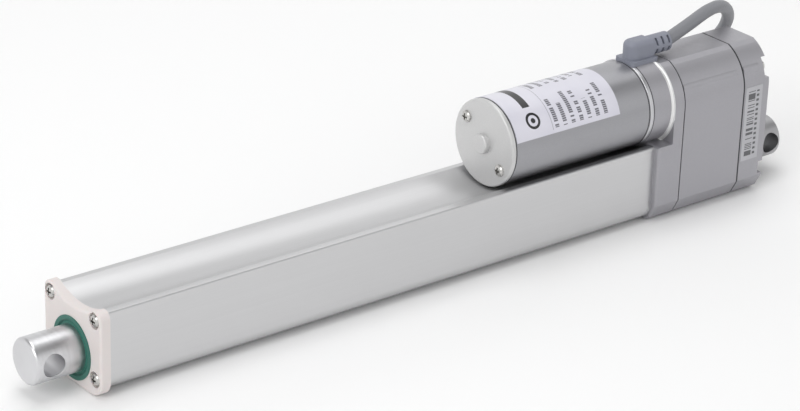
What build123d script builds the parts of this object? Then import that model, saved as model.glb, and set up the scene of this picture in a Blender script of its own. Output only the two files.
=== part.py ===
"""Electric linear actuator: a square extruded tube with a round rod, a gearbox at its back end,
and a motor lying over the tube. Millimetres.

Frame: the origin is the centre of the rear clevis hole, +X is the way the rod extends, +Z is up
towards the motor, and both clevis holes run along Y. The rod, the screw and the tube's bore share
the X axis.
"""

import os
from math import acos, atan2, cos, pi, radians, sin, sqrt, tan

from build123d import *

os.makedirs("parts", exist_ok=True)

# Travel and fixings
HOLE_DISTANCE = 396.8  # between the clevis holes, retracted
CLEVIS_HOLE_R = 5.0
CLEVIS_R = 10.0  # of the round bar at each end
REAR_END_X = -6.7
HEAD_LENGTH = 22.2  # of the rod end, outside the front cap
FLOOR_Z = -15.6  # the cap and the gearbox both stand on this level

# Rod, screw and nut
ROD_R = 10.0
ROD_BORE_R = 7.5
SCREW_R = 5.0
JOURNAL_R = 4.0
RUNNING = 0.05  # radial clearance of a running fit
LOOSE = 0.3  # gap between parts that pass each other

# Outer tube and front cap
TUBE_HALF_W = 18.4
TUBE_TOP_Z = 21.4
TUBE_BOTTOM_Z = -14.1
TUBE_CORNER = 1.0
TUBE_LOWER_CORNER = 6.0
BORE_R = 12.5
TROUGH_HALF_W = 15.0  # shallow hollow along the tube's top
TROUGH_Z = 17.3  # its lowest line
CAP_T = 4.7
CAP_HALF_W = 20.8
CAP_TOP_Z = 22.6
CAP_TROUGH_HALF_W = 16.0
CAP_TROUGH_Z = 18.6
CAP_CORNER = 3.2
CAP_LOWER_CORNER = 8.0
CAP_EDGE_R = 1.2
CAP_SCREW_Y = 16.2
CAP_SCREW_Z = (18.4, -7.6)
CAP_HEAD_DEPTH = 1.7
SCREW_HOLE_R = 1.25
SEAL_R = 13.6

# Motor
MOTOR_Z = 37.8
MOTOR_R = 19.8
CAN_BORE_R = 18.4
END_BELL_T = 2.0
SHAFT_R = 1.6
MOTOR_SCREW_PITCH_R = 14.6
MOTOR_SCREW_ANGLE = 143.0

# Gearbox outline
BOX_HALF_W = 21.2
BOX_TOP_Z = 57.1
BOX_TOP_HALF_W = 8.7
BOX_WALL = 2.2
ACROSS = (-BOX_HALF_W, BOX_HALF_W)
BOX_SCREW_Y = 16.3
POCKETS_Z = ((41.5, 50.5), (-6.3, -0.3))  # of the screw heads, open to the sides

# Stations along X
COVER_X = 17.0  # back face of the rear cover
JOINT_2_X = 32.8
JOINT_1_X = 70.1
GASKET_1_T = 0.6
GASKET_2_T = 0.9
FLANGE_X = 76.3  # front face of the upper flange
TUBE_SEAT_X = 75.1
TUBE_ENTRY_X = 84.7
SOCKET_X = 88.3
CAN_X = 90.3
BELL_X = 168.9
HEAD_X = HOLE_DISTANCE + 7.7  # front face of the rod end
CAP_X = HEAD_X - HEAD_LENGTH
TUBE_FRONT_X = CAP_X - CAP_T

# Gears
MODULE = 0.8
PRESSURE_ANGLE = radians(25)
ADDENDUM = 0.95 * MODULE
DEDENDUM = 1.2 * MODULE
BACKLASH = 0.12
MOTOR_TEETH, WHEEL_TEETH = 12, 39
IDLER_TEETH, SPINDLE_TEETH = 14, 30

# Cable
CABLE_R = 3.0


def bar(x0, x1, radius, at=(0, 0), mode=Mode.ADD):
    """A round bar along X, or a round hole with Mode.SUBTRACT, centred on (y, z)."""
    with BuildSketch(Plane.YZ.offset(x0)) as disc:
        with Locations(at):
            Circle(radius)
    extrude(disc.sketch, amount=x1 - x0, mode=mode)


def block(x_range, y_range, z_range, mode=Mode.ADD):
    """A box between two values on each axis."""
    spans = (x_range, y_range, z_range)
    with Locations(tuple((low + high) / 2 for low, high in spans)):
        Box(*(high - low for low, high in spans), mode=mode)


def cross_hole(x):
    """A clevis hole along Y through the whole bar."""
    with BuildSketch(Plane.XZ.offset(-CLEVIS_R - 1)) as disc:
        with Locations((x, 0)):
            Circle(CLEVIS_HOLE_R)
    extrude(disc.sketch, amount=2 * CLEVIS_R + 2, mode=Mode.SUBTRACT)


def ring_places(centre, radius, count, start=0.0):
    """Evenly spaced (y, z) places on a circle; start is an angle in radians from +Y to +Z."""
    turns = [start + 2 * pi * step / count for step in range(count)]
    return [(centre[0] + radius * cos(turn), centre[1] + radius * sin(turn)) for turn in turns]


def finish(builder, name):
    """Labels a piece and writes it as its own STEP file."""
    builder.part.label = name
    export_step(builder.part, f"parts/{name}.step")


def phillips_recess(face_x, at, width=0.8, span=3.0, depth=1.3):
    """Cuts the cross slot of a screw whose head faces +X at face_x, or -X if depth is negative."""
    ends = sorted((face_x - depth, face_x + depth))
    for half_y, half_z in ((span / 2, width / 2), (width / 2, span / 2)):
        block(
            ends,
            (at[0] - half_y, at[0] + half_y),
            (at[1] - half_z, at[1] + half_z),
            mode=Mode.SUBTRACT,
        )


def pan_screws(places, seat_x, head_r, head_t, shank_r, shank_length, facing=1):
    """Pan-head screws along X, heads on the plane seat_x, pointing +X for facing 1."""
    with BuildPart() as screws:
        for at in places:
            top_x = seat_x + facing * head_t
            with BuildSketch(Plane.XY) as half_profile:
                with BuildLine():
                    Polyline(
                        (top_x, 0),
                        (seat_x - facing * shank_length, 0),
                        (seat_x - facing * shank_length, shank_r),
                        (seat_x, shank_r),
                        (seat_x, head_r),
                        (seat_x + facing * head_t * 0.45, head_r),
                    )
                    ThreePointArc(
                        (seat_x + facing * head_t * 0.45, head_r),
                        (seat_x + facing * head_t * 0.86, head_r * 0.72),
                        (top_x, 0),
                    )
                make_face()
            turned = revolve(half_profile.sketch, axis=Axis.X, mode=Mode.PRIVATE)
            add(turned.moved(Location((0, at[0], at[1]))))
            phillips_recess(top_x, at, depth=facing * 1.3, span=head_r * 1.15)
    return screws


def trough(half_w, edge_z, middle_z):
    """Half of a shallow hollow: a line from its edge to its lowest point, on one arc."""
    depth = edge_z - middle_z
    radius = (half_w**2 + depth**2) / (2 * depth)
    quarter_y = half_w / 2
    quarter_z = middle_z + radius - sqrt(radius**2 - quarter_y**2)
    ThreePointArc((half_w, edge_z), (quarter_y, quarter_z), (0, middle_z))


def tube_outline(x):
    """The extrusion's outer section: square, with a hollow along its top for the motor."""
    with BuildSketch(Plane.YZ.offset(x)) as outline:
        with BuildLine():
            FilletPolyline(
                (0, TUBE_BOTTOM_Z),
                (TUBE_HALF_W, TUBE_BOTTOM_Z),
                (TUBE_HALF_W, TUBE_TOP_Z),
                (TROUGH_HALF_W, TUBE_TOP_Z),
                radius=(TUBE_LOWER_CORNER, TUBE_CORNER),
            )
            trough(TROUGH_HALF_W, TUBE_TOP_Z, TROUGH_Z)
            mirror(about=Plane.YZ)
        make_face()
    return outline.sketch


def gearbox_outline(x, inset=0.0):
    """The gearbox section: flat sides and top, the top corners round the motor's axis."""
    corner = radians(58)
    side_y = BOX_HALF_W
    with BuildSketch(Plane.YZ.offset(x)) as outline:
        with BuildLine():
            FilletPolyline(
                (0, FLOOR_Z),
                (side_y - 5.9, FLOOR_Z),
                (side_y - 3.3, FLOOR_Z + 2.0),
                (side_y, FLOOR_Z + 8.3),
                (side_y, MOTOR_Z),
                radius=1.4,
            )
            ThreePointArc(
                (side_y, MOTOR_Z),
                (side_y * cos(corner / 2), MOTOR_Z + side_y * sin(corner / 2)),
                (side_y * cos(corner), MOTOR_Z + side_y * sin(corner)),
            )
            Polyline(
                (side_y * cos(corner), MOTOR_Z + side_y * sin(corner)),
                (BOX_TOP_HALF_W, BOX_TOP_Z),
                (0, BOX_TOP_Z),
            )
            mirror(about=Plane.YZ)
        make_face()
        if inset:
            offset(amount=-inset, kind=Kind.INTERSECTION, mode=Mode.REPLACE)
    return outline.sketch


def gear_outline(x, teeth, first_tooth):
    """An involute gear section. first_tooth is the angle of one tooth's middle, from +Y to +Z."""
    pitch_r = MODULE * teeth / 2
    base_r = pitch_r * cos(PRESSURE_ANGLE)
    root_r = pitch_r - DEDENDUM
    tip_r = pitch_r + ADDENDUM
    start_r = max(base_r, root_r)

    def half_angle(radius):
        involute = tan(PRESSURE_ANGLE) - PRESSURE_ANGLE
        here = acos(min(1.0, base_r / radius))
        half_tooth = (pi * MODULE / 2 - BACKLASH) / (2 * pitch_r)
        return half_tooth + involute - (tan(here) - here)

    def point(radius, angle):
        return (radius * cos(angle), radius * sin(angle))

    with BuildSketch(Plane.YZ.offset(x)) as outline:
        with BuildLine():
            for tooth in range(teeth):
                middle = first_tooth + 2 * pi * tooth / teeth
                following = middle + 2 * pi / teeth
                middle_r = (start_r + tip_r) / 2
                for side in (-1, 1):
                    flank = [
                        point(r, middle + side * half_angle(r)) for r in (start_r, middle_r, tip_r)
                    ]
                    ThreePointArc(*flank)
                    if start_r > root_r:
                        foot = point(root_r, middle + side * half_angle(start_r))
                        Line(foot, flank[0])
                Line(*(point(tip_r, middle + side * half_angle(tip_r)) for side in (-1, 1)))
                Line(
                    point(root_r, middle + half_angle(start_r)),
                    point(root_r, following - half_angle(start_r)),
                )
        make_face()
    return outline.sketch


def mesh_phase(near, near_teeth, near_first, far, far_teeth):
    """The first_tooth of a gear centred at far that meshes with one centred at near."""
    bearing = atan2(far[1] - near[1], far[0] - near[0])
    near_share = (bearing - near_first) * near_teeth / (2 * pi)
    return bearing + pi - (0.5 - near_share) * 2 * pi / far_teeth


def idler_centre():
    """Where the idler shaft stands, from the two centre distances of the gear train."""
    to_spindle = MODULE * (IDLER_TEETH + SPINDLE_TEETH) / 2
    to_motor = MODULE * (MOTOR_TEETH + WHEEL_TEETH) / 2
    z = (to_spindle**2 - to_motor**2 + MOTOR_Z**2) / (2 * MOTOR_Z)
    return (sqrt(to_spindle**2 - z**2), z)


motor_at = (0, MOTOR_Z)
idler_at = idler_centre()
cap_screw_places = [(y, z) for y in (-CAP_SCREW_Y, CAP_SCREW_Y) for z in CAP_SCREW_Z]
box_screw_places = [(y, sum(span) / 2) for y in (-BOX_SCREW_Y, BOX_SCREW_Y) for span in POCKETS_Z]

# ------------------------------------------------------------------ tube, cap and seal

KEYWAY_HALF_W, KEYWAY_R = 2.0, 14.6
STRIP_HALF_W, STRIP_SLOT_R = 4.0, 16.3

with BuildPart() as outer_tube:
    extrude(tube_outline(TUBE_SEAT_X), amount=TUBE_FRONT_X - TUBE_SEAT_X)
    bar(TUBE_SEAT_X, TUBE_FRONT_X, BORE_R, mode=Mode.SUBTRACT)
    tube_span = (TUBE_SEAT_X, TUBE_FRONT_X)
    block(tube_span, (0, KEYWAY_R), (-KEYWAY_HALF_W, KEYWAY_HALF_W), mode=Mode.SUBTRACT)
    block(tube_span, (-STRIP_SLOT_R, 0), (-STRIP_HALF_W, STRIP_HALF_W), mode=Mode.SUBTRACT)
    for place in cap_screw_places:
        bar(*tube_span, SCREW_HOLE_R, at=place, mode=Mode.SUBTRACT)
finish(outer_tube, "outer_tube")

with BuildPart() as front_cap:
    with BuildSketch(Plane.YZ.offset(TUBE_FRONT_X)):
        with BuildLine():
            FilletPolyline(
                (0, FLOOR_Z),
                (CAP_HALF_W, FLOOR_Z),
                (CAP_HALF_W, CAP_TOP_Z),
                (CAP_TROUGH_HALF_W, CAP_TOP_Z),
                radius=(CAP_LOWER_CORNER, CAP_CORNER),
            )
            trough(CAP_TROUGH_HALF_W, CAP_TOP_Z, CAP_TROUGH_Z)
            mirror(about=Plane.YZ)
        make_face()
    extrude(amount=CAP_T)
    fillet(front_cap.faces().sort_by(Axis.X)[-1].edges(), radius=CAP_EDGE_R)
    bar(TUBE_FRONT_X, CAP_X, ROD_R + 0.4, mode=Mode.SUBTRACT)
    bar(TUBE_FRONT_X + 1.4, CAP_X, SEAL_R, mode=Mode.SUBTRACT)
    for place in cap_screw_places:
        bar(TUBE_FRONT_X, CAP_X, SCREW_HOLE_R + 0.3, at=place, mode=Mode.SUBTRACT)
        bar(CAP_X - CAP_HEAD_DEPTH, CAP_X, 3.5, at=place, mode=Mode.SUBTRACT)
finish(front_cap, "front_cap")

front_cap_screws = pan_screws(cap_screw_places, CAP_X - CAP_HEAD_DEPTH, 2.8, 2.3, 1.2, 14.0)
finish(front_cap_screws, "front_cap_screws")

with BuildPart() as rod_seal:
    with BuildSketch(Plane.XY):
        with BuildLine():
            Polyline(
                (TUBE_FRONT_X + 1.4, ROD_R + 1.2),
                (TUBE_FRONT_X + 1.4, SEAL_R),
                (CAP_X + 0.4, SEAL_R),
                (CAP_X + 0.4, ROD_R + 1.9),
                (CAP_X - 0.5, ROD_R + 1.3),
                (CAP_X + 0.2, ROD_R + RUNNING),
                (CAP_X - 0.8, ROD_R + RUNNING),
                close=True,
            )
        make_face()
    revolve(axis=Axis.X)
finish(rod_seal, "rod_seal")

BUSH_X = TUBE_FRONT_X - 15.0
with BuildPart() as guide_bush:
    bar(BUSH_X, TUBE_FRONT_X, BORE_R)
    bar(BUSH_X, TUBE_FRONT_X, ROD_R + RUNNING, mode=Mode.SUBTRACT)
finish(guide_bush, "guide_bush")

# ------------------------------------------------------------------ rod, rod end and nut

ROD_JOINT_X = CAP_X - 0.4
PLUG_X = ROD_JOINT_X - 15.0
NUT_X, NUT_FLANGE_T, NUT_SPIGOT_L = 83.0, 10.0, 10.0
rod_start_x = NUT_X + NUT_FLANGE_T

with BuildPart() as rod_tube:
    bar(rod_start_x, ROD_JOINT_X, ROD_R)
    bar(rod_start_x, ROD_JOINT_X, ROD_BORE_R, mode=Mode.SUBTRACT)
finish(rod_tube, "rod_tube")

with BuildPart() as rod_end:
    bar(PLUG_X, ROD_JOINT_X, ROD_BORE_R)
    bar(ROD_JOINT_X, HEAD_X, CLEVIS_R)
    fillet(rod_end.faces().sort_by(Axis.X)[-1].edges(), radius=1.5)
    cross_hole(HOLE_DISTANCE)
finish(rod_end, "rod_end")

with BuildPart() as drive_nut:
    bar(NUT_X, rod_start_x, BORE_R - LOOSE)
    bar(rod_start_x, rod_start_x + NUT_SPIGOT_L, ROD_BORE_R)
    key_half = KEYWAY_HALF_W - LOOSE
    block((NUT_X, rod_start_x), (0, KEYWAY_R - LOOSE), (-key_half, key_half))
    bar(NUT_X, rod_start_x + NUT_SPIGOT_L, SCREW_R + RUNNING, mode=Mode.SUBTRACT)
finish(drive_nut, "drive_nut")

# ------------------------------------------------------------------ screw and its bearing

GEAR_B_X = (56.0, 64.0)  # spindle gear and idler pinion
GEAR_A_X = (44.5, 50.5)  # idler wheel and motor pinion
SPINDLE_END_X = 51.7
SCREW_TIP_X = 360.0
BEARING_X = (TUBE_SEAT_X - 7.0, TUBE_SEAT_X)
BEARING_R = 11.0
INNER_RING_R, OUTER_RING_R = 5.8, 9.2
TIP_BUSH_X = (SCREW_TIP_X - 5.5, SCREW_TIP_X - 0.5)

with BuildPart() as lead_screw:
    bar(SPINDLE_END_X, SCREW_TIP_X, JOURNAL_R)
    bar(TUBE_SEAT_X + 0.3, TIP_BUSH_X[0], SCREW_R)
finish(lead_screw, "lead_screw")

with BuildPart() as screw_tip_bush:
    bar(*TIP_BUSH_X, ROD_BORE_R - LOOSE)
    bar(*TIP_BUSH_X, JOURNAL_R, mode=Mode.SUBTRACT)
finish(screw_tip_bush, "screw_tip_bush")

with BuildPart() as bearing_outer_ring:
    bar(*BEARING_X, BEARING_R)
    bar(*BEARING_X, OUTER_RING_R, mode=Mode.SUBTRACT)
finish(bearing_outer_ring, "bearing_outer_ring")

with BuildPart() as bearing_inner_ring:
    bar(*BEARING_X, INNER_RING_R)
    bar(*BEARING_X, JOURNAL_R, mode=Mode.SUBTRACT)
finish(bearing_inner_ring, "bearing_inner_ring")

BALL_COUNT, BALL_R = 8, 1.55
ball_ring_r = (INNER_RING_R + OUTER_RING_R) / 2
with BuildPart() as bearing_balls:
    for place in ring_places((0, 0), ball_ring_r, BALL_COUNT):
        with Locations((sum(BEARING_X) / 2, *place)):
            Sphere(BALL_R)
finish(bearing_balls, "bearing_balls")

# ------------------------------------------------------------------ gear train

spindle_first = 0.0
idler_first = mesh_phase((0, 0), SPINDLE_TEETH, spindle_first, idler_at, IDLER_TEETH)
wheel_first = 0.0
pinion_first = mesh_phase(idler_at, WHEEL_TEETH, wheel_first, motor_at, MOTOR_TEETH)

with BuildPart() as spindle_gear:
    extrude(gear_outline(GEAR_B_X[0], SPINDLE_TEETH, spindle_first), amount=8.0)
    bar(GEAR_B_X[1], BEARING_X[0], 6.2)
    bar(GEAR_B_X[0], BEARING_X[0], JOURNAL_R, mode=Mode.SUBTRACT)
finish(spindle_gear, "spindle_gear")

with BuildPart() as spindle_nut:
    with BuildSketch(Plane.YZ.offset(SPINDLE_END_X)):
        RegularPolygon(radius=6.0, side_count=6)
    extrude(amount=GEAR_B_X[0] - SPINDLE_END_X)
    bar(SPINDLE_END_X, GEAR_B_X[0], JOURNAL_R, mode=Mode.SUBTRACT)
finish(spindle_nut, "spindle_nut")

IDLER_SHAFT_R = 2.0
with BuildPart() as idler_gear:
    extrude(
        gear_outline(GEAR_A_X[0], WHEEL_TEETH, wheel_first).moved(Location((0, *idler_at))),
        amount=GEAR_A_X[1] - GEAR_A_X[0],
    )
    extrude(
        gear_outline(GEAR_A_X[1], IDLER_TEETH, idler_first).moved(Location((0, *idler_at))),
        amount=GEAR_B_X[1] + 0.5 - GEAR_A_X[1],
    )
    bar(GEAR_A_X[0], GEAR_B_X[1] + 0.5, IDLER_SHAFT_R + RUNNING, idler_at, Mode.SUBTRACT)
finish(idler_gear, "idler_gear")

IDLER_SHAFT_X = (38.0, 73.0)
CIRCLIP_X = (65.0, 66.0)
with BuildPart() as idler_shaft:
    bar(*IDLER_SHAFT_X, IDLER_SHAFT_R, at=idler_at)
finish(idler_shaft, "idler_shaft")

with BuildPart() as idler_circlip:
    bar(*CIRCLIP_X, 2 * IDLER_SHAFT_R, at=idler_at)
    bar(*CIRCLIP_X, IDLER_SHAFT_R, at=idler_at, mode=Mode.SUBTRACT)
finish(idler_circlip, "idler_circlip")

with BuildPart() as motor_pinion:
    extrude(
        gear_outline(GEAR_A_X[0] - 1, MOTOR_TEETH, pinion_first).moved(Location((0, *motor_at))),
        amount=GEAR_A_X[1] - GEAR_A_X[0] + 2,
    )
    bar(GEAR_A_X[0] - 1, GEAR_A_X[1] + 1, SHAFT_R, at=motor_at, mode=Mode.SUBTRACT)
finish(motor_pinion, "motor_pinion")

# ------------------------------------------------------------------ motor

BELL_FACE_X = BELL_X + END_BELL_T
BOSS_R, BOSS_T = 4.5, 2.5
SPIGOT_X = (78.6, CAN_X)
BUSHING_X, BUSHING_R = (72.0, SPIGOT_X[0] + 6), 6.0
BELL_RIM_L = 3.0  # how far the end bell reaches into the can

with BuildPart() as motor_can:
    bar(CAN_X, BELL_X - 0.25, MOTOR_R, at=motor_at)
    bar(CAN_X, BELL_X, CAN_BORE_R, at=motor_at, mode=Mode.SUBTRACT)
finish(motor_can, "motor_can")

screw_turn = radians(MOTOR_SCREW_ANGLE)
motor_screw_places = ring_places(motor_at, MOTOR_SCREW_PITCH_R, 2, start=screw_turn)

with BuildPart() as motor_end_bell:
    bar(BELL_X, BELL_FACE_X, MOTOR_R, at=motor_at)
    fillet(motor_end_bell.faces().sort_by(Axis.X)[-1].edges(), radius=0.9)
    bar(BELL_FACE_X, BELL_FACE_X + BOSS_T, BOSS_R, at=motor_at)
    fillet(motor_end_bell.faces().sort_by(Axis.X)[-1].edges(), radius=0.8)
    bar(BELL_X - BELL_RIM_L, BELL_X, CAN_BORE_R, at=motor_at)
    bar(BELL_X - BELL_RIM_L, BELL_X + 1.0, 10.0, at=motor_at, mode=Mode.SUBTRACT)
    bar(BELL_X, BELL_FACE_X + 1.2, SHAFT_R + RUNNING, at=motor_at, mode=Mode.SUBTRACT)
    for place in motor_screw_places:
        bar(BELL_X - BELL_RIM_L, BELL_FACE_X, 1.25, at=place, mode=Mode.SUBTRACT)
finish(motor_end_bell, "motor_end_bell")

motor_screws = pan_screws(motor_screw_places, BELL_FACE_X, 2.7, 1.5, 1.2, 4.6)
finish(motor_screws, "motor_screws")

with BuildPart() as motor_mount_bell:
    bar(*SPIGOT_X, CAN_BORE_R, at=motor_at)
    bar(SPIGOT_X[0] + 3, SPIGOT_X[1], CAN_BORE_R - 2, at=motor_at, mode=Mode.SUBTRACT)
    bar(*BUSHING_X, BUSHING_R, at=motor_at)
    bar(*BUSHING_X, SHAFT_R + RUNNING, at=motor_at, mode=Mode.SUBTRACT)
finish(motor_mount_bell, "motor_mount_bell")

COLLAR_R = 20.4
with BuildPart() as motor_collar:
    bar(SOCKET_X, CAN_X, COLLAR_R, at=motor_at)
    fillet(motor_collar.edges().filter_by(GeomType.CIRCLE), radius=0.5)
    bar(SOCKET_X, CAN_X, CAN_BORE_R, at=motor_at, mode=Mode.SUBTRACT)
    block((SOCKET_X, CAN_X), ACROSS, (BOX_TOP_Z, BOX_TOP_Z + 5), mode=Mode.SUBTRACT)
finish(motor_collar, "motor_collar")

ARMATURE_X, COMMUTATOR_X = (104.0, 150.0), (154.0, 162.0)
ARMATURE_R = 13.5
COMMUTATOR_R = 5.0
MAGNET_GAP = 17.0
with BuildPart() as motor_armature:
    bar(*ARMATURE_X, ARMATURE_R, at=motor_at)
    for place in ring_places(motor_at, ARMATURE_R, 5):
        bar(*ARMATURE_X, 1.4, at=place, mode=Mode.SUBTRACT)
    bar(*COMMUTATOR_X, COMMUTATOR_R, at=motor_at)
    bar(GEAR_A_X[0] - 1, BELL_FACE_X + 1.0, SHAFT_R, at=motor_at)
finish(motor_armature, "motor_armature")

with BuildPart() as motor_magnets:
    magnet_x = (ARMATURE_X[0] - 2, ARMATURE_X[1] + 2)
    bar(*magnet_x, CAN_BORE_R, at=motor_at)
    bar(*magnet_x, ARMATURE_R + 0.5, at=motor_at, mode=Mode.SUBTRACT)
    above_and_below = (MOTOR_Z - CAN_BORE_R, MOTOR_Z + CAN_BORE_R)
    block(magnet_x, (-MAGNET_GAP / 2, MAGNET_GAP / 2), above_and_below, mode=Mode.SUBTRACT)
finish(motor_magnets, "motor_magnets")

BRUSH_PLATE_X = (163.2, 165.2)
with BuildPart() as brush_plate:
    bar(*BRUSH_PLATE_X, CAN_BORE_R, at=motor_at)
    bar(*BRUSH_PLATE_X, COMMUTATOR_R + 0.4, at=motor_at, mode=Mode.SUBTRACT)
finish(brush_plate, "brush_plate")

with BuildPart() as motor_brushes:
    for side in ((COMMUTATOR_R + 0.1, 10.0), (-10.0, -COMMUTATOR_R - 0.1)):
        block((156.0, BRUSH_PLATE_X[0]), side, (MOTOR_Z - 1.6, MOTOR_Z + 1.6))
finish(motor_brushes, "motor_brushes")

LABEL_T = 0.15
LABEL_X = (108.3, 168.0)
LABEL_ANGLES = (16.5, 196.0)
with BuildPart() as motor_label:
    with BuildSketch(Plane.YZ.offset(LABEL_X[0])):
        with BuildLine():
            start, sweep_angle = LABEL_ANGLES[0], LABEL_ANGLES[1] - LABEL_ANGLES[0]
            outer = CenterArc(motor_at, MOTOR_R + LABEL_T, start, sweep_angle)
            inner = CenterArc(motor_at, MOTOR_R, start, sweep_angle)
            Line(outer @ 0, inner @ 0)
            Line(outer @ 1, inner @ 1)
        make_face()
    extrude(amount=LABEL_X[1] - LABEL_X[0])
finish(motor_label, "motor_label")

# ------------------------------------------------------------------ gearbox

SOCKET_R = 20.2
BEARING_BOSS_R = 13.0
LEDGE_Z = 21.9  # top of the block that the tube goes into
FOOT_R = 1.0  # hollow where the motor socket meets the flange
front_joint_x = JOINT_1_X + GASKET_1_T / 2

with BuildPart() as front_housing:
    extrude(gearbox_outline(front_joint_x), amount=TUBE_ENTRY_X - front_joint_x)
    block((FLANGE_X, TUBE_ENTRY_X), ACROSS, (LEDGE_Z, BOX_TOP_Z), mode=Mode.SUBTRACT)
    fillet(front_housing.faces().sort_by(Axis.X)[-1].edges(), radius=1.2)
    with BuildSketch(Plane.XY) as socket_profile:
        with BuildLine():
            Polyline(
                (FLANGE_X + FOOT_R, SOCKET_R),
                (SOCKET_X, SOCKET_R),
                (SOCKET_X, 0),
                (FLANGE_X, 0),
                (FLANGE_X, SOCKET_R + FOOT_R),
            )
            RadiusArc((FLANGE_X, SOCKET_R + FOOT_R), (FLANGE_X + FOOT_R, SOCKET_R), -FOOT_R)
        make_face()
    turned_socket = revolve(socket_profile.sketch, axis=Axis.X, mode=Mode.PRIVATE)
    add(turned_socket.moved(Location((0, *motor_at))))
    bar(BEARING_X[0] - 0.8, front_joint_x, BEARING_BOSS_R)
    extrude(tube_outline(TUBE_SEAT_X), amount=40, mode=Mode.SUBTRACT)
    bar(*BEARING_X, BEARING_R, mode=Mode.SUBTRACT)
    bar(BEARING_X[0] - 0.8, BEARING_X[0], OUTER_RING_R, mode=Mode.SUBTRACT)
    bar(SPIGOT_X[0], SOCKET_X, CAN_BORE_R, at=motor_at, mode=Mode.SUBTRACT)
    bar(front_joint_x, SPIGOT_X[0], BUSHING_R, at=motor_at, mode=Mode.SUBTRACT)
    bar(front_joint_x, IDLER_SHAFT_X[1], IDLER_SHAFT_R, at=idler_at, mode=Mode.SUBTRACT)
    block((FLANGE_X, SOCKET_X), ACROSS, (BOX_TOP_Z, BOX_TOP_Z + 5), mode=Mode.SUBTRACT)
    for place in box_screw_places:
        bar(front_joint_x, front_joint_x + 4.5, 1.5, at=place, mode=Mode.SUBTRACT)
finish(front_housing, "front_housing")


def gasket(middle_x, thickness, inset):
    """A flat seal between two gearbox castings, a little inside their outline."""
    with BuildPart() as seal:
        extrude(gearbox_outline(middle_x - thickness / 2, inset=inset), amount=thickness)
        extrude(
            gearbox_outline(middle_x - thickness / 2, inset=BOX_WALL),
            amount=thickness,
            mode=Mode.SUBTRACT,
        )
        for place in box_screw_places:
            bar(middle_x - thickness, middle_x + thickness, 1.6, at=place, mode=Mode.SUBTRACT)
    return seal


front_gasket = gasket(JOINT_1_X, GASKET_1_T, inset=0.3)
finish(front_gasket, "front_gasket")
rear_gasket = gasket(JOINT_2_X, GASKET_2_T, inset=0.15)
finish(rear_gasket, "rear_gasket")

MID_X = (JOINT_2_X + GASKET_2_T / 2, JOINT_1_X - GASKET_1_T / 2)
PARTITION_T = 3.0
partition_x = MID_X[0] + PARTITION_T
with BuildPart() as mid_housing:
    extrude(gearbox_outline(MID_X[0]), amount=MID_X[1] - MID_X[0])
    extrude(
        gearbox_outline(partition_x, inset=BOX_WALL),
        amount=MID_X[1] - partition_x,
        mode=Mode.SUBTRACT,
    )
    for place in box_screw_places:
        bar(partition_x, MID_X[1], 3.2, at=place)
    bar(partition_x, GEAR_A_X[0] - 0.5, 4.0, at=idler_at)
    bar(IDLER_SHAFT_X[0], GEAR_A_X[0], IDLER_SHAFT_R, at=idler_at, mode=Mode.SUBTRACT)
    for place in box_screw_places:
        bar(*MID_X, 1.6, at=place, mode=Mode.SUBTRACT)
finish(mid_housing, "mid_housing")

COVER_FLOOR_X = COVER_X + 5.6  # where the hollow of the cover ends
CLEVIS_FLANGE_X = (26.0, 30.0)
CLEVIS_FLANGE_HALF = 12.0
cover_front_x = JOINT_2_X - GASKET_2_T / 2
COVER_HEAD_SEAT_X = COVER_X + 2.6
POCKET_INNER_Y = BOX_SCREW_Y - 3.0

with BuildPart() as rear_cover:
    extrude(gearbox_outline(COVER_X), amount=cover_front_x - COVER_X)
    extrude(
        gearbox_outline(COVER_FLOOR_X, inset=BOX_WALL),
        amount=cover_front_x - COVER_FLOOR_X,
        mode=Mode.SUBTRACT,
    )
    for place in box_screw_places:
        bar(COVER_FLOOR_X, cover_front_x, 3.4, at=place)
    flange = CLEVIS_FLANGE_HALF
    block((COVER_FLOOR_X, CLEVIS_FLANGE_X[0]), (-flange - 2, flange + 2), (-flange, flange + 2))
    for place in box_screw_places:
        bar(COVER_X, cover_front_x, 1.6, at=place, mode=Mode.SUBTRACT)
    for pocket in POCKETS_Z:
        for side in ((POCKET_INNER_Y, BOX_HALF_W), (-BOX_HALF_W, -POCKET_INNER_Y)):
            block((COVER_X, COVER_HEAD_SEAT_X), side, pocket, mode=Mode.SUBTRACT)
    bar(COVER_X, CLEVIS_FLANGE_X[0], CLEVIS_R, mode=Mode.SUBTRACT)
finish(rear_cover, "rear_cover")

with BuildPart() as rear_clevis:
    bar(REAR_END_X, CLEVIS_FLANGE_X[1], CLEVIS_R)
    chamfer(rear_clevis.faces().sort_by(Axis.X)[0].edges(), length=1.0)
    cross_hole(0)
    block(CLEVIS_FLANGE_X, (-flange, flange), (-flange, flange))
finish(rear_clevis, "rear_clevis")

rear_cover_screws = pan_screws(
    box_screw_places,
    COVER_HEAD_SEAT_X,
    2.75,
    2.0,
    1.5,
    front_joint_x + 4.5 - COVER_HEAD_SEAT_X,
    facing=-1,
)
finish(rear_cover_screws, "rear_cover_screws")

with BuildPart() as barcode_label:
    block((21.0, 31.5), (BOX_HALF_W, BOX_HALF_W + LABEL_T), (2.4, 39.0))
finish(barcode_label, "barcode_label")

# ------------------------------------------------------------------ limit switches in the tube

STRIP_X = (80.0, 374.0)
SWITCH_L = 8.0
with BuildPart() as limit_switch_strip:
    block(STRIP_X, (-STRIP_SLOT_R + 0.1, -STRIP_SLOT_R + 1.1), (-3.5, 3.5))
finish(limit_switch_strip, "limit_switch_strip")

with BuildPart() as limit_switches:
    for start_x in (NUT_X + 1.0, NUT_X + 251.0):
        block((start_x, start_x + SWITCH_L), (-STRIP_SLOT_R + 1.1, -12.8), (-3.0, 3.0))
finish(limit_switches, "limit_switches")

# ------------------------------------------------------------------ plug

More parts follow.
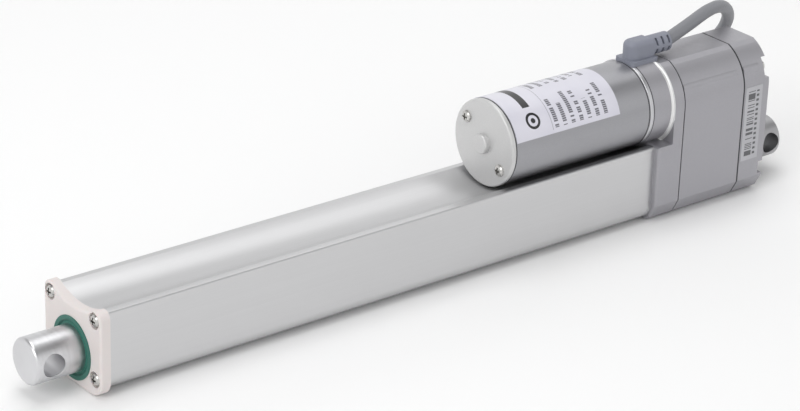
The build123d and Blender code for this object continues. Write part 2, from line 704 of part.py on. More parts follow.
PLUG_BODY_X = (75.5, 84.8)  # back of the body, and middle of its rounded front
PLUG_HALF_W = 4.5
PLUG_TOP_Z = 67.5
PLATE_T = 2.0
RELIEF_X = (64.8, 79.0)
RELIEF_Z = 62.8
RELIEF_R = 4.5
RIB_PITCH = 3.6

with BuildPart() as cable_plug:
    block((74.3, 89.8), (-6.0, 6.0), (BOX_TOP_Z, BOX_TOP_Z + PLATE_T))
    fillet(cable_plug.edges().filter_by(Axis.Z), radius=1.0)
    plug_base_z = BOX_TOP_Z + PLATE_T - 0.1
    with BuildSketch(Plane.XY.offset(plug_base_z)):
        with Locations((PLUG_BODY_X[1], 0)):
            Circle(PLUG_HALF_W)
        with Locations((sum(PLUG_BODY_X) / 2, 0)):
            Rectangle(PLUG_BODY_X[1] - PLUG_BODY_X[0], 2 * PLUG_HALF_W)
    extrude(amount=PLUG_TOP_Z - plug_base_z)
    fillet(cable_plug.faces().sort_by(Axis.Z)[-1].edges(), radius=2.5)
    bar(*RELIEF_X, RELIEF_R, at=(0, RELIEF_Z))
    for rib in range(3):
        slot_x = RELIEF_X[0] + 1.0 + rib * RIB_PITCH
        for side in ((1.6, 6.0), (-6.0, -1.6)):
            for level in ((0.7, 3.9), (-3.9, -0.7)):
                heights = (RELIEF_Z + level[0], RELIEF_Z + level[1])
                block((slot_x, slot_x + 1.2), side, heights, mode=Mode.SUBTRACT)
    bar(*RELIEF_X, CABLE_R, at=(0, RELIEF_Z))
finish(cable_plug, "cable_plug")

# ------------------------------------------------------------------ cable

# The cable leaves the plug towards the back, comes down behind the gearbox and joins its hank.
CABLE_ROUTE = [
    (64.8, 0.0, 62.8),
    (49.0, -2.3, 66.2),
    (32.5, -6.3, 69.2),
    (16.5, -12.8, 66.3),
    (3.0, -21.0, 56.0),
    (-3.5, -31.0, 43.5),
    (-4.5, -42.0, 31.0),
    (0.5, -52.5, 20.0),
    (11.0, -59.8, 11.8),
    (24.5, -63.3, 7.0),
    (38.0, -64.0, 6.0),
]
HANK_X = (20.0, 74.0)  # centres of the folds
HANK_Y = -46.0
HANK_FOLD_R = 18.0  # to the middle of the cable
LAYER_PITCH = 2 * CABLE_R
HANK_LAYERS = 3
HANK_BASE_Z = FLOOR_Z + 0.6  # the tie passes under it
CABLE_END_X = 100.0

corner_radii = []
for before, corner, after in zip(CABLE_ROUTE, CABLE_ROUTE[1:], CABLE_ROUTE[2:]):
    arriving, leaving = Vector(*corner) - Vector(*before), Vector(*after) - Vector(*corner)
    turn = radians(arriving.get_angle(leaving))
    corner_radii.append(0.45 * min(arriving.length, leaving.length) / tan(turn / 2))
print("cable bend radii, mm:", [round(radius, 1) for radius in corner_radii])

with BuildPart() as power_cable:
    with BuildLine() as cable_path:
        FilletPolyline(*CABLE_ROUTE, radius=corner_radii)
    cable_wire = cable_path.wire()
    with BuildSketch(Plane(origin=cable_wire @ 0, z_dir=cable_wire % 0)):
        Circle(CABLE_R)
    sweep(path=cable_wire)
finish(power_cable, "power_cable")
cable_length = cable_wire.length
print("cable tube length, mm:", round(cable_length, 1))
print("volume over section x length:", power_cable.part.volume / (pi * CABLE_R**2 * cable_length))

# The hank: turns folded one on another, with the cable coming in on top and leaving along the floor.
hank_top_z = HANK_BASE_Z + HANK_LAYERS * LAYER_PITCH
far_lane = (HANK_Y - HANK_FOLD_R - CABLE_R, HANK_Y - HANK_FOLD_R + CABLE_R)
near_edge_y = HANK_Y + HANK_FOLD_R + CABLE_R
with BuildPart() as cable_hank:
    with BuildSketch(Plane.XY.offset(HANK_BASE_Z)):
        with Locations((sum(HANK_X) / 2, HANK_Y)):
            SlotCenterToCenter(HANK_X[1] - HANK_X[0], 2 * (HANK_FOLD_R + CABLE_R))
            SlotCenterToCenter(HANK_X[1] - HANK_X[0], 2 * (HANK_FOLD_R - CABLE_R), mode=Mode.SUBTRACT)
    extrude(amount=hank_top_z - HANK_BASE_Z)
    block((CABLE_ROUTE[-1][0], HANK_X[1]), far_lane, (HANK_BASE_Z, hank_top_z + LAYER_PITCH))
    block((HANK_X[1], CABLE_END_X), far_lane, (HANK_BASE_Z, HANK_BASE_Z + LAYER_PITCH))
finish(cable_hank, "cable_hank")

TIE_X = (43.0, 51.0)
TIE_T = 0.6


def tie_outline(x, thickness=0.0):
    """The line that the tie takes round the hank, or its outer side if it has a thickness."""
    with BuildSketch(Plane.YZ.offset(x)) as outline:
        with BuildLine():
            Polyline(
                (far_lane[0], HANK_BASE_Z),
                (far_lane[0], hank_top_z + LAYER_PITCH),
                (far_lane[1], hank_top_z + LAYER_PITCH),
                (near_edge_y - 2 * CABLE_R, hank_top_z),
                (near_edge_y, hank_top_z),
                (near_edge_y, HANK_BASE_Z),
                close=True,
            )
        make_face()
        if thickness:
            offset(amount=thickness, kind=Kind.INTERSECTION, mode=Mode.REPLACE)
    return outline.sketch


with BuildPart() as cable_tie:
    extrude(tie_outline(TIE_X[0], TIE_T), amount=TIE_X[1] - TIE_X[0])
    extrude(tie_outline(TIE_X[0]), amount=TIE_X[1] - TIE_X[0], mode=Mode.SUBTRACT)
finish(cable_tie, "cable_tie")

LEAD_R, LEAD_LENGTH = 0.8, 28.0
with BuildPart() as cable_leads:
    for lane in (-1.2, 1.2):
        lead_at = (HANK_Y - HANK_FOLD_R + lane, FLOOR_Z + LEAD_R)
        bar(CABLE_END_X, CABLE_END_X + LEAD_LENGTH, LEAD_R, at=lead_at)
finish(cable_leads, "cable_leads")
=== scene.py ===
"""The looks of the linear actuator: materials, printing, cable, floor, light and camera. Metres."""

from math import cos, radians, sin

import bpy
from mathutils import Matrix, Vector


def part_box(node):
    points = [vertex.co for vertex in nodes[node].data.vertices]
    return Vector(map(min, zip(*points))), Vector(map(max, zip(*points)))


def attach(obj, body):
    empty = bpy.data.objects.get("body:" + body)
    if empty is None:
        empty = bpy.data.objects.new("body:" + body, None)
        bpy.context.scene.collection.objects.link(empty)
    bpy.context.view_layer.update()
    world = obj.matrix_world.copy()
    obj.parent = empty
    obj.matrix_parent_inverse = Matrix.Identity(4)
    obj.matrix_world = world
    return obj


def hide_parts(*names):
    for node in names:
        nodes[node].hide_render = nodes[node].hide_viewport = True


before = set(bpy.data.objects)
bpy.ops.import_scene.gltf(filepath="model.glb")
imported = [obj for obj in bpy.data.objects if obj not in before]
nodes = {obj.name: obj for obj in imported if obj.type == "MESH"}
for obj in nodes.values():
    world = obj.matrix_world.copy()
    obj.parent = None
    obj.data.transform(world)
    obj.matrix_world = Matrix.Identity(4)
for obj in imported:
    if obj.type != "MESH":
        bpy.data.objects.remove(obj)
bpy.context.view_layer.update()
scene = bpy.context.scene
collection = scene.collection

# ---------------------------------------------------------------- sizes, in metres

FLOOR_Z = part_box("front_cap")[0].z
MOTOR_AXIS_Z = (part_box("motor_can")[0].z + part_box("motor_can")[1].z) / 2
MOTOR_R = (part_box("motor_can")[1].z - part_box("motor_can")[0].z) / 2
TUBE_TOP_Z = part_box("outer_tube")[1].z
SOCKET_END_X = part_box("front_housing")[1].x
FLANGE_X = SOCKET_END_X - 0.0120  # front face of the gearbox flange, which the socket stands on

CABLE_R = 0.003
HANK_X = (0.020, 0.074)  # centres of the folds
HANK_Y = -0.046
HANK_FOLD_R = 0.018
HANK_LOOPS = 3
HANK_START = 0.009  # from the hank's middle to where the first loop is entered
FOLD_STEPS = 8
FOLD_DROP_ANGLES = (35, 120)  # where in a fold the cable comes down, in degrees
CABLE_END_X = 0.100
LEAD_R = 0.0008
LEAD_LENGTH = 0.028
LEAD_LANE = 0.0012  # from the cable's axis to a lead's axis
BARE_LENGTH = 0.006
FLOOR_HALF_SIZE = 6.0
FLOOR_GAP = 0.0002  # keeps the floor clear of the faces that stand on it

# ---------------------------------------------------------------- camera

FOCAL_LENGTH_MM = 128.8
CAMERA_AT = Vector((0.92246, 0.86805, 0.52714))
CAMERA_TARGET = Vector((0.2165, 0.0, 0.0196))
CAMERA_ROLL = radians(1.98)


def make_camera():
    camera = bpy.data.objects.new("camera", bpy.data.cameras.new("camera"))
    camera.data.lens = FOCAL_LENGTH_MM
    camera.data.sensor_width = 36.0
    camera.data.clip_end = 20.0
    aim = (CAMERA_TARGET - CAMERA_AT).to_track_quat("-Z", "Y")
    camera.matrix_world = (
        Matrix.Translation(CAMERA_AT) @ aim.to_matrix().to_4x4() @ Matrix.Rotation(CAMERA_ROLL, 4, "Z")
    )
    collection.objects.link(camera)
    scene.camera = camera


make_camera()

# ---------------------------------------------------------------- node helpers


class Shader:
    """A material with one Principled shader, and short ways to add the nodes that feed it."""

    def __init__(self, name, roughness=0.5, metallic=0.0, **sockets):
        self.material = bpy.data.materials.new(name)
        self.material.use_nodes = True
        self.tree = self.material.node_tree
        self.surface = self.tree.nodes["Principled BSDF"]
        self.set("Roughness", roughness)
        self.set("Metallic", metallic)
        for socket, value in sockets.items():
            self.set(socket.replace("_", " "), value)
        self.place = self.tree.nodes.new("ShaderNodeTexCoord").outputs["Object"]

    def set(self, socket, value):
        self.surface.inputs[socket].default_value = value

    def link(self, source, socket):
        self.tree.links.new(source, self.surface.inputs[socket])

    def node(self, kind, inputs=(), **settings):
        made = self.tree.nodes.new(kind)
        for key, value in settings.items():
            setattr(made, key, value)
        for key, value in dict(inputs).items():
            if isinstance(value, bpy.types.NodeSocket):
                self.tree.links.new(value, made.inputs[key])
            else:
                made.inputs[key].default_value = value
        return made

    def math(self, operation, first, second=0.0, third=0.0):
        inputs = {0: first, 1: second, 2: third}
        return self.node("ShaderNodeMath", inputs, operation=operation).outputs[0]

    def axes(self):
        split = self.node("ShaderNodeSeparateXYZ", {0: self.place})
        return split.outputs[0], split.outputs[1], split.outputs[2]

    def noise(self, scale, detail=3.0, stretch=(1, 1, 1)):
        mapping = self.node("ShaderNodeMapping", {"Vector": self.place, "Scale": stretch})
        inputs = {"Vector": mapping.outputs[0], "Scale": scale, "Detail": detail}
        return self.node("ShaderNodeTexNoise", inputs).outputs["Fac"]

    def spread(self, value, low, high, start=0.3, end=0.7):
        inputs = {"Value": value, "From Min": start, "From Max": end, "To Min": low, "To Max": high}
        return self.node("ShaderNodeMapRange", inputs).outputs[0]

    def mix(self, share, first, second):
        made = self.node("ShaderNodeMix", data_type="RGBA")
        for index, value in ((0, share), (6, first), (7, second)):
            if isinstance(value, bpy.types.NodeSocket):
                self.tree.links.new(value, made.inputs[index])
            else:
                made.inputs[index].default_value = value
        return made.outputs[2]

    def between(self, value, low, high):
        above = self.math("GREATER_THAN", value, low)
        below = self.math("LESS_THAN", value, high)
        return self.math("MULTIPLY", above, below)

    def both(self, *masks):
        result = masks[0]
        for mask in masks[1:]:
            result = self.math("MULTIPLY", result, mask)
        return result

    def colour(self, source):
        self.link(source, "Base Color")

    def bump(self, height, distance, strength=1.0):
        inputs = {"Height": height, "Distance": distance, "Strength": strength}
        self.link(self.node("ShaderNodeBump", inputs).outputs[0], "Normal")


def rgb(red, green, blue):
    """A display colour, 0 to 255 per channel, as the linear colour that a shader takes."""
    linear = [((v / 255 + 0.055) / 1.055) ** 2.4 if v > 10 else v / 3295 for v in (red, green, blue)]
    return (*linear, 1.0)


def shade(colour, factor):
    return tuple(channel * factor for channel in colour[:3]) + (1.0,)


# ---------------------------------------------------------------- materials

ALUMINIUM = rgb(205, 205, 206)
PAINT = rgb(168, 167, 172)
WARM_WHITE = rgb(220, 213, 211)
# SEAM_AND_SHADE darkens seams, and also stands in for painted shade.
SEAM_AND_SHADE = rgb(62, 62, 66)
# PAINTED_HIGHLIGHT is the near-white of a painted highlight.
PAINTED_HIGHLIGHT = rgb(232, 232, 232)


def extruded_aluminium(name, colour):
    """Satin anodised extrusion, with fine die lines along it and painted shade on the rim under the motor.
    """
    shader = Shader(name, metallic=1.0)
    lines = shader.noise(1.0, 4.0, stretch=(6, 1500, 1500))
    cloud = shader.noise(18.0, 2.0)
    tone = shader.spread(cloud, 0.0, 1.0)
    lined = shader.mix(shader.spread(lines, 0.0, 0.16), colour, shade(colour, 0.9))
    metal = shader.mix(shader.math("MULTIPLY", tone, 0.2), lined, shade(colour, 1.05))
    x, y, z = shader.axes()
    can_front_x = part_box("motor_can")[1].x
    shade_depth = 0.0060
    # Painted shade: the tube's top rim under the motor's can is darkened, where the can shades it.
    painted_shade_under_can = shader.both(
        shader.spread(x, 1.0, 0.0, can_front_x - 0.020, can_front_x + 0.002),
        shader.math("GREATER_THAN", z, TUBE_TOP_Z - shade_depth),
        shader.spread(y, 0.55, 0.0, 0.0125, 0.0165),
    )
    shader.colour(shader.mix(painted_shade_under_can, metal, SEAM_AND_SHADE))
    shader.link(shader.spread(lines, 0.34, 0.40), "Roughness")
    shader.bump(lines, 0.000006, 0.25)
    return shader.material


def painted_casting(name, colour, metallic=0.6, grain=0.00002, roughness=0.36, trim=None):
    """Silver-grey paint on a casting: a fine orange peel, tiny flakes and slight clouding.
    trim(shader, paint) may add marks of its own to the paint's colour: seams, painted shade and painted
    highlights."""
    shader = Shader(name, metallic=metallic)
    flakes = shader.noise(2600.0, 1.0)
    peel = shader.noise(520.0, 3.0)
    cloud = shader.noise(26.0, 2.0)
    base = shader.mix(shader.spread(flakes, 0.0, 0.5), shade(colour, 0.95), shade(colour, 1.08))
    paint = shader.mix(shader.spread(cloud, 0.0, 0.3), base, shade(colour, 0.92))
    shader.colour(trim(shader, paint) if trim else paint)
    shader.link(shader.spread(peel, roughness, roughness + 0.08), "Roughness")
    shader.bump(peel, grain, 0.5)
    return shader.material


def round_the_motor(shader):
    """The distance of a place from the motor's axis."""
    _, y, z = shader.axes()
    above = shader.math("SUBTRACT", z, MOTOR_AXIS_Z)
    square = shader.math("MULTIPLY_ADD", y, y, shader.math("MULTIPLY", above, above))
    return shader.math("SQRT", square)


def socket_highlight_and_seam(shader, paint):
    """A painted highlight in a near-white line where the motor socket meets the flange, and the dark seam at
    its front.
    """
    x, _, z = shader.axes()
    from_axis = round_the_motor(shader)
    # Painted highlight: the fillet where the socket meets the flange is coloured near-white, as a glint of
    # light.
    painted_highlight_foot = shader.both(
        shader.between(x, FLANGE_X - 0.0002, FLANGE_X + 0.0013),
        shader.between(from_axis, 0.0198, 0.0216),
        shader.math("GREATER_THAN", z, TUBE_TOP_Z),
    )
    seam = shader.both(
        shader.math("GREATER_THAN", x, SOCKET_END_X - 0.0005), shader.between(from_axis, 0.0195, 0.0210)
    )
    return shader.mix(shader.math("MULTIPLY", seam, 0.8), shader.mix(painted_highlight_foot, paint, PAINTED_HIGHLIGHT), SEAM_AND_SHADE)


def can_seams_and_shade(shader, paint):
    """Dark seams at both ends of the can, and painted shade on the can's underside, just above the tube."""
    x, _, z = shader.axes()
    low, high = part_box("motor_can")
    rear_seam = shader.math("LESS_THAN", x, low.x + 0.0006)
    front_seam = shader.math("GREATER_THAN", x, high.x - 0.0004)
    seam = shader.math("MULTIPLY", shader.math("MAXIMUM", rear_seam, front_seam), 0.8)
    # Painted shade: the can is darkened towards its bottom, where the tube shades it.
    painted_shade_gap = shader.spread(z, 0.55, 0.0, low.z + 0.0020, low.z + 0.0085)
    return shader.mix(seam, shader.mix(painted_shade_gap, paint, SEAM_AND_SHADE), SEAM_AND_SHADE)


def turned_metal(name, colour, roughness=0.3, axis_stretch=(900, 8, 8)):
    """Machined metal with tool lines across the given direction."""
    shader = Shader(name, metallic=1.0)
    lines = shader.noise(1.0, 3.0, stretch=axis_stretch)
    shader.colour(shader.mix(shader.spread(lines, 0.0, 0.5), colour, shade(colour, 0.85)))
    shader.link(shader.spread(lines, roughness, roughness + 0.1), "Roughness")
    shader.bump(lines, 0.00001, 0.3)
    return shader.material


def moulded_plastic(name, colour, roughness=0.5, texture=900.0, depth=0.00002, subsurface=0.0):
    """Moulded plastic with a fine spark-eroded texture."""
    shader = Shader(name, Subsurface_Weight=subsurface, Subsurface_Scale=0.002)
    fine = shader.noise(texture, 3.0)
    cloud = shader.noise(40.0, 2.0)
    shader.colour(shader.mix(shader.spread(cloud, 0.0, 0.4), colour, shade(colour, 0.93)))
    shader.link(shader.spread(fine, roughness - 0.05, roughness + 0.08), "Roughness")
    shader.bump(fine, depth, 0.5)
    return shader.material


def soft_rubber(name, colour, roughness=0.55):
    shader = Shader(name, Sheen_Weight=0.15)
    fine = shader.noise(1400.0, 3.0)
    shader.colour(shader.mix(shader.spread(fine, 0.0, 0.6), colour, shade(colour, 0.8)))
    shader.link(shader.spread(fine, roughness, roughness + 0.1), "Roughness")
    shader.bump(fine, 0.00001, 0.5)
    return shader.material


def label_film():
    """White printed film on the motor: a ring with a dot, a dark band, a thin line and rows of dashes."""
    shader = Shader("label_film", roughness=0.32, Coat_Weight=0.25, Coat_Roughness=0.2)
    x, y, z = shader.axes()
    from_axis = shader.math("SUBTRACT", z, MOTOR_AXIS_Z)
    label_front_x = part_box("motor_label")[1].x
    label_edge_angle = radians(73.5)
    # The distance round the can from the label's near lower edge, and the distance back from its front.
    turn = shader.math("ARCTAN2", shader.math("MULTIPLY", y, -1.0), from_axis)
    around = shader.math("MULTIPLY_ADD", turn, MOTOR_R, label_edge_angle * MOTOR_R)
    back = shader.math("SUBTRACT", label_front_x, x)

    # The round mark is a ring with a dot in it, and the band lies beyond it.
    mark_back, mark_around, mark_r = 0.0115, 0.0078, 0.0038
    ring_width, dot_r = 0.0012, 0.0012
    off_back = shader.math("SUBTRACT", back, mark_back)
    off_around = shader.math("SUBTRACT", around, mark_around)
    square = shader.math("MULTIPLY_ADD", off_back, off_back, shader.math("MULTIPLY", off_around, off_around))
    ring = shader.between(square, (mark_r - ring_width) ** 2, mark_r**2)
    dot = shader.math("LESS_THAN", square, dot_r**2)
    band = shader.both(shader.between(back, 0.0095, 0.0135), shader.between(around, 0.0145, 0.0340))
    mark = shader.math("MAXIMUM", shader.math("MAXIMUM", ring, dot), band)

    rule = shader.both(shader.between(back, 0.0208, 0.0211), shader.between(around, 0.0015, 0.0600))

    # Rows of dashes in two columns, each row broken up unevenly and of its own length.
    row_pitch, row_height, rows_start, row_count = 0.00475, 0.0022, 0.0224, 7
    along_rows = shader.math("DIVIDE", shader.math("SUBTRACT", back, rows_start), row_pitch)
    row = shader.math("FLOOR", along_rows)
    in_row = shader.math("LESS_THAN", shader.math("FRACT", along_rows), row_height / row_pitch)
    one_row = shader.between(along_rows, 0.0, row_count)
    row_seed = shader.node("ShaderNodeTexWhiteNoise", {"W": row}, noise_dimensions="1D").outputs["Value"]
    row_end = shader.spread(row_seed, 0.0115, 0.0190, 0.0, 1.0)
    first_start, second_start, column_pitch = 0.0022, 0.0245, 0.0215
    first_column = shader.both(
        shader.math("GREATER_THAN", around, first_start), shader.math("LESS_THAN", around, row_end)
    )
    second_column = shader.both(
        shader.math("GREATER_THAN", around, second_start),
        shader.math("LESS_THAN", around, shader.math("ADD", row_end, column_pitch)),
    )
    column = shader.math("MAXIMUM", first_column, second_column)
    dash_length, inked_part, blank_share = 0.00095, 0.78, 0.16
    dash = shader.math("DIVIDE", around, dash_length)
    dash_seed_at = shader.math("MULTIPLY_ADD", row, 17.0, shader.math("FLOOR", dash))
    dash_seed = shader.node("ShaderNodeTexWhiteNoise", {"W": dash_seed_at}, noise_dimensions="1D")
    dash_on = shader.math("GREATER_THAN", dash_seed.outputs["Value"], blank_share)
    dash_body = shader.math("LESS_THAN", shader.math("FRACT", dash), inked_part)
    dashes = shader.both(one_row, in_row, column, dash_on, dash_body)

    paper = shader.noise(60.0, 3.0)
    white = shader.mix(shader.spread(paper, 0.0, 1.0), rgb(216, 215, 224), rgb(209, 208, 219))
    printed = shader.mix(shader.math("MULTIPLY", dashes, 0.85), white, rgb(58, 58, 66))
    printed = shader.mix(shader.math("MULTIPLY", rule, 0.7), printed, rgb(120, 120, 128))
    shader.colour(shader.mix(mark, printed, rgb(24, 24, 28)))
    shader.bump(paper, 0.00002, 0.2)
    return shader.material


def barcode_film():
    """A pale sticker with a row of bars of uneven width and a row of short dashes beside them."""
    shader = Shader("barcode_film", roughness=0.35, Coat_Weight=0.2, Coat_Roughness=0.2)
    x, _, z = shader.axes()
    low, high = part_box("barcode_label")
    bar_pitch, dash_pitch, end_margin = 0.00042, 0.0024, 0.0022
    above_end = shader.math("SUBTRACT", z, low.z)
    step = shader.math("DIVIDE", above_end, bar_pitch)
    seed = shader.node("ShaderNodeTexWhiteNoise", {"W": shader.math("FLOOR", step)}, noise_dimensions="1D")
    bar_on = shader.math("GREATER_THAN", seed.outputs["Value"], 0.48)
    in_height = shader.between(z, low.z + end_margin, high.z - end_margin)
    in_width = shader.between(x, high.x - 0.0062, high.x - 0.0018)
    dash_step = shader.math("DIVIDE", above_end, dash_pitch)
    dash_part = shader.math("LESS_THAN", shader.math("FRACT", dash_step), 0.5)
    dash_width = shader.between(x, high.x - 0.0086, high.x - 0.0070)
    dashes = shader.both(dash_part, dash_width, in_height)
    ink = shader.math("MAXIMUM", shader.both(bar_on, in_height, in_width), dashes)
    paper = shader.noise(90.0, 3.0)
    white = shader.mix(shader.spread(paper, 0.0, 1.0), rgb(184, 184, 188), rgb(174, 174, 179))
    shader.colour(shader.mix(shader.math("MULTIPLY", ink, 0.85), white, rgb(52, 52, 56)))
    shader.bump(paper, 0.00002, 0.2)
    return shader.material


looks = {
    "tube": extruded_aluminium("tube_aluminium", ALUMINIUM),
    "casting": painted_casting("housing_paint", PAINT),
    "socket": painted_casting("socket_paint", PAINT, trim=socket_highlight_and_seam),
    "can": painted_casting(
        "motor_can_paint", rgb(164, 164, 168), metallic=0.75, grain=0.000006, roughness=0.3, trim=can_seams_and_shade
    ),
    "bell": painted_casting("motor_bell_finish", rgb(206, 206, 206), metallic=0.45, grain=0.000012),
    "collar": turned_metal("collar_metal", rgb(205, 205, 208), 0.25),
    "cap": moulded_plastic("cap_plastic", WARM_WHITE, 0.5, subsurface=0.05),
    "seal": soft_rubber("seal_rubber", rgb(26, 104, 90)),
    "rod": turned_metal("rod_steel", rgb(222, 222, 224), 0.16, axis_stretch=(1200, 30, 30)),
    "rod_end": turned_metal("rod_end_aluminium", rgb(216, 216, 218), 0.3, axis_stretch=(700, 40, 40)),
    "clevis": turned_metal("clevis_aluminium", rgb(176, 176, 178), 0.36, axis_stretch=(40, 700, 40)),
    "screw": turned_metal("zinc_steel", rgb(200, 199, 196), 0.24, axis_stretch=(60, 900, 900)),
    "gasket": soft_rubber("gasket_rubber", rgb(44, 44, 48), 0.6),
    "plug": moulded_plastic("plug_plastic", rgb(132, 135, 147), 0.5),
    "tie": moulded_plastic("tie_plastic", rgb(44, 44, 46), 0.45),
    "sheath": moulded_plastic("cable_sheath", rgb(128, 129, 134), 0.46, texture=1600.0, depth=0.000012),
    "bearing_plastic": moulded_plastic("bearing_plastic", rgb(232, 230, 222), 0.4),
    "steel": turned_metal("plain_steel", rgb(190, 190, 192), 0.28),
    "iron": painted_casting("magnet_ferrite", rgb(64, 64, 68), metallic=0.2),
    "board": moulded_plastic("circuit_board", rgb(34, 92, 60), 0.45),
    "carbon": moulded_plastic("brush_carbon", rgb(52, 52, 54), 0.7),
    "brass": turned_metal("pinion_brass", rgb(212, 184, 120), 0.25),
    "copper": turned_metal("bare_copper", rgb(206, 134, 92), 0.3),
    "label": label_film(),
    "barcode": barcode_film(),
    "red_sleeve": moulded_plastic("red_sleeve", rgb(168, 44, 40), 0.45),
    "black_sleeve": moulded_plastic("black_sleeve", rgb(40, 40, 42), 0.45),
}

LOOK_OF_NODE = {
    "outer_tube": "tube",
    "front_cap": "cap",
    "front_cap_screws": "screw",
    "rod_seal": "seal",
    "guide_bush": "bearing_plastic",
    "bearing_outer_ring": "steel",
    "bearing_inner_ring": "steel",
    "bearing_balls": "rod",
    "idler_shaft": "rod",
    "idler_circlip": "steel",
    "motor_can": "can",
    "motor_end_bell": "bell",
    "motor_screws": "screw",
    "motor_mount_bell": "bell",
    "motor_collar": "collar",
    "motor_magnets": "iron",
    "brush_plate": "board",
    "motor_brushes": "carbon",
    "motor_label": "label",
    "front_housing": "socket",
    "front_gasket": "gasket",
    "mid_housing": "casting",
    "rear_gasket": "gasket",
    "rear_cover": "casting",
    "rear_cover_screws": "screw",
    "rear_clevis": "clevis",
    "barcode_label": "barcode",
    "limit_switch_strip": "board",
    "limit_switches": "carbon",
    "cable_plug": "plug",
    "cable_tie": "tie",
    "rod_tube": "rod",
    "rod_end": "rod_end",
    "drive_nut": "bearing_plastic",
    "lead_screw": "steel",
    "screw_tip_bush": "bearing_plastic",
    "spindle_gear": "bearing_plastic",
    "spindle_nut": "screw",
    "idler_gear": "bearing_plastic",
    "motor_armature": "steel",
    "motor_pinion": "brass",
}


def give_material(obj, look):
    obj.data.materials.clear()
    obj.data.materials.append(looks[look])


for node, look in LOOK_OF_NODE.items():
    give_material(nodes[node], look)

# ---------------------------------------------------------------- cable

# The same points as the cable's tube in the solid model.
CABLE_ROUTE = [
    (0.0648, 0.0000, 0.0628),
    (0.0490, -0.0023, 0.0662),
    (0.0325, -0.0063, 0.0692),
    (0.0165, -0.0128, 0.0663),
    (0.0030, -0.0210, 0.0560),
    (-0.0035, -0.0310, 0.0435),
    (-0.0045, -0.0420, 0.0310),
    (0.0005, -0.0525, 0.0200),
    (0.0110, -0.0598, 0.0118),
    (0.0245, -0.0633, 0.0070),
    (0.0380, -0.0640, 0.0060),
]


def ramp(value, start, end):
    """0 before start, 1 after end, and straight between."""
    return min(1.0, max(0.0, (value - start) / (end - start)))


def fold_points(x, first_angle, z, drop=0.0):
    """Half a turn of the hank, in degrees from +X; it comes down by drop on the way round."""
    step_angle = 180 / FOLD_STEPS
    radius = HANK_FOLD_R / cos(radians(step_angle / 2))
    points = []
    for step in range(FOLD_STEPS):
        turned = step_angle * (step + 0.5)
        angle = radians(first_angle + turned)
        lower = drop * ramp(turned, *FOLD_DROP_ANGLES)
        points.append((x + radius * cos(angle), HANK_Y + radius * sin(angle), z - lower))
    return points


def hank_points():
    """Loops that follow the far lane, a fold, the near lane and a fold, each below the one before."""
    middle_x = sum(HANK_X) / 2
    far_y, near_y = HANK_Y - HANK_FOLD_R, HANK_Y + HANK_FOLD_R
    z = CABLE_ROUTE[-1][2]
    points = [(middle_x + HANK_START, far_y, z)]
    for _ in range(HANK_LOOPS):
        points += fold_points(HANK_X[1], -90, z, drop=2 * CABLE_R)
        z -= 2 * CABLE_R
        points.append((middle_x, near_y, z))
        points += fold_points(HANK_X[0], 90, z)
        points.append((middle_x, far_y, z))
    return points + [(HANK_X[1], far_y, z), (CABLE_END_X, far_y, z)]


def smooth_tube(name, points, radius, look):
    """A round tube along one NURBS spline."""
    curve = bpy.data.curves.new(name, "CURVE")
    curve.dimensions = "3D"
    curve.bevel_depth = radius
    curve.bevel_resolution = 6
    curve.use_fill_caps = True
    spline = curve.splines.new("NURBS")
    spline.points.add(len(points) - 1)
    for point, place in zip(spline.points, points):
        point.co = (*place, 1.0)
    spline.order_u = 3
    spline.use_endpoint_u = True
    spline.resolution_u = 8
    spline.use_smooth = True
    tube = bpy.data.objects.new(name, curve)
    collection.objects.link(tube)
    give_material(tube, look)
    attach(tube, "housing")
    return tube


hank = hank_points()
cable = smooth_tube("cable", CABLE_ROUTE + hank, CABLE_R, "sheath")
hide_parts("power_cable", "cable_hank")


def make_leads():
    """Two sleeved wires out of the cable's end, lying on the floor, with bare copper tips."""
    x, y, z = hank[-1]
    floor_z = FLOOR_Z + LEAD_R
    bare_x = x + LEAD_LENGTH - BARE_LENGTH
    made = []
    for lane, look in ((-LEAD_LANE, "red_sleeve"), (LEAD_LANE, "black_sleeve")):
        route = [
            (x - 0.002, y + lane, z),
            (x + 0.003, y + lane * 1.1, z - 0.0004),
            (x + 0.008, y + lane * 1.2, floor_z),
            (bare_x, y + lane * 1.5, floor_z),
        ]
        tip = [(bare_x - 0.001, y + lane * 1.5, floor_z), (x + LEAD_LENGTH, y + lane * 1.6, floor_z)]
        made.append(smooth_tube(f"lead_{look}", route, LEAD_R, look))
        made.append(smooth_tube(f"lead_tip_{look}", tip, LEAD_R * 0.7, "copper"))
    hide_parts("cable_leads")
    return made


leads = make_leads()

# ---------------------------------------------------------------- floor, light


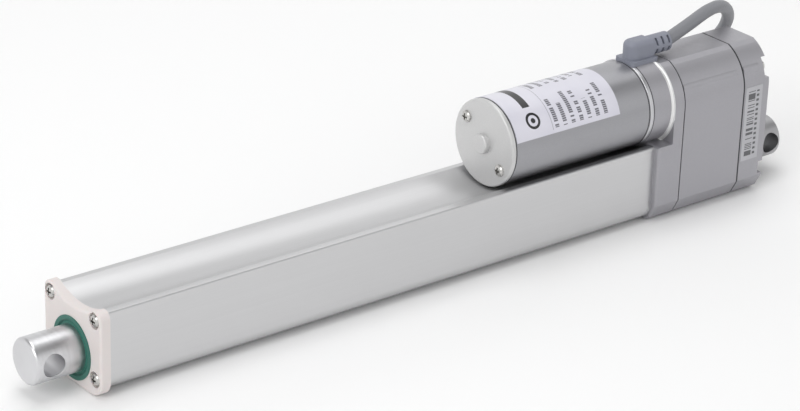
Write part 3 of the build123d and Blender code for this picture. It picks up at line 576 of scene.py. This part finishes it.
def make_floor():
    mesh = bpy.data.meshes.new("floor")
    half = FLOOR_HALF_SIZE
    corners = [(-half, -half, 0), (half, -half, 0), (half, half, 0), (-half, half, 0)]
    mesh.from_pydata(corners, [], [(0, 1, 2, 3)])
    floor = bpy.data.objects.new("floor", mesh)
    floor.location.z = FLOOR_Z - FLOOR_GAP
    collection.objects.link(floor)
    shader = Shader("floor_white", roughness=0.9)
    shader.set("Base Color", (0.93, 0.93, 0.93, 1))
    shader.set("Specular IOR Level", 0.1)
    mesh.materials.append(shader.material)


def area_light(name, at, aim, size, power):
    """A rectangular light of size (width, height), turned to face aim; power is in watts."""
    light = bpy.data.objects.new(name, bpy.data.lights.new(name, "AREA"))
    light.data.shape = "RECTANGLE"
    light.data.size, light.data.size_y = size
    light.data.energy = power
    light.location = at
    light.rotation_euler = (Vector(aim) - Vector(at)).to_track_quat("-Z", "Y").to_euler()
    collection.objects.link(light)


def make_light():
    """A studio that is bright all round at eye level and darker overhead, with three softboxes."""
    world = bpy.data.worlds.new("studio")
    world.use_nodes = True
    tree = world.node_tree
    direction = tree.nodes.new("ShaderNodeTexCoord").outputs["Generated"]
    split = tree.nodes.new("ShaderNodeSeparateXYZ")
    fade = tree.nodes.new("ShaderNodeMapRange")
    limits = {"From Min": 0.50, "From Max": 0.76, "To Min": 0.96, "To Max": 0.16}
    for socket, value in limits.items():
        fade.inputs[socket].default_value = value
    background = tree.nodes["Background"]
    background.inputs["Color"].default_value = (1.0, 1.0, 1.0, 1)
    tree.links.new(direction, split.inputs[0])
    tree.links.new(split.outputs["Z"], fade.inputs["Value"])
    tree.links.new(fade.outputs[0], background.inputs["Strength"])
    scene.world = world
    area_light("top_softbox", (0.3, -0.1, 1.6), (0.2, 0, 0), (1.4, 0.8), 12)
    area_light("front_softbox", (1.5, 0.4, 0.9), (0.3, 0, 0), (0.7, 0.7), 6)
    area_light("back_softbox", (-0.75, -0.45, 1.3), (0.2, 0, 0), (1.3, 0.7), 3.2)


make_floor()
make_light()
scene.view_settings.view_transform = "Standard"
